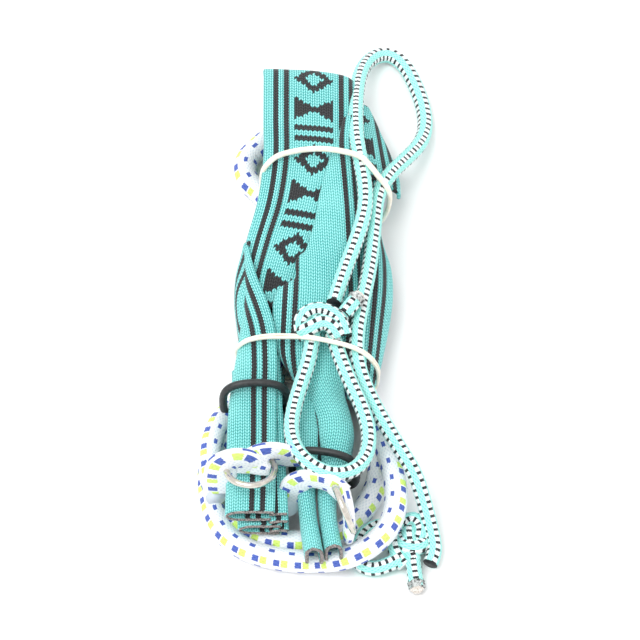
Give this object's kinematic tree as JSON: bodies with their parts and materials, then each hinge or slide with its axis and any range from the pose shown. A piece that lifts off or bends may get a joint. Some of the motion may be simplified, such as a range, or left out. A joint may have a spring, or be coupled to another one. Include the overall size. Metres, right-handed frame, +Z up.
{
  "type": "tow rope handle",
  "caption": "Folded webbing tow handles with rubber keepers and steel rings, bundled with a rope hank and a leash.",
  "frame": {"origin": "under the middle of the bundle's box, on the surface that it lies on", "axes": "+Y along the bundle towards its looped end, +X to the leash's side, +Z up off the surface"},
  "size_m": [0.0938, 0.2562, 0.0392],
  "materials": {
    "teal_webbing": "matte",
    "white_rope": "matte",
    "teal_cord": "matte",
    "cream_rubber": "satin",
    "grey_rubber": "satin",
    "steel": "satin"
  },
  "bodies": {
    "bundle": {"left_handle_upper_fold": "teal_webbing", "left_handle_lower_fold": "teal_webbing", "right_handle_body": "teal_webbing", "right_handle_left_leg": "teal_webbing", "right_handle_right_leg": "teal_webbing", "inner_webbing_folds": "teal_webbing", "right_side_lay": "teal_webbing", "top_right_lay": "teal_webbing", "front_patterned_lay": "teal_webbing", "left_side_lay": "teal_webbing", "centre_plain_lay": "teal_webbing", "tow_rope_hank_lower": "white_rope", "tow_rope_hank_upper": "white_rope", "tow_rope_left_run": "white_rope", "tow_rope_left_hitch": "white_rope", "tow_rope_right_hitch": "white_rope", "leash_upper_knot": "teal_cord", "leash_lower_knot": "teal_cord", "leash_upper_end": "teal_cord", "leash_cord_run": "teal_cord", "leash_hand_loop": "teal_cord", "leash_lower_loop": "teal_cord", "leash_lower_end": "teal_cord", "upper_rubber_band": "cream_rubber", "lower_rubber_band": "cream_rubber"},
    "left_keeper": {"left_keeper_ring": "grey_rubber"},
    "right_keeper": {"right_keeper_ring": "grey_rubber"},
    "left_ring": {"left_steel_ring": "steel"},
    "right_ring": {"right_steel_ring": "steel"}
  },
  "joints": [
    {"name": "left_keeper_slide", "type": "slide", "parent": "bundle", "child": "left_keeper", "axis": [0, 1, 0], "range_m": [-0.009, 0.003]},
    {"name": "right_keeper_slide", "type": "slide", "parent": "bundle", "child": "right_keeper", "axis": [0, 1, 0], "range_m": [-0.003, 0.0085]},
    {"name": "left_ring_tilt", "type": "hinge", "parent": "bundle", "child": "left_ring", "pos_m": [-0.0259, -0.0846, 0.028], "axis": [1, 0, 0], "range_deg": [-2, 9]},
    {"name": "right_ring_tilt", "type": "hinge", "parent": "bundle", "child": "right_ring", "pos_m": [0.009, -0.1016, 0.0264], "axis": [-0.3848, 0.7558, 0.5297], "range_deg": [-6, 4]}
  ]
}
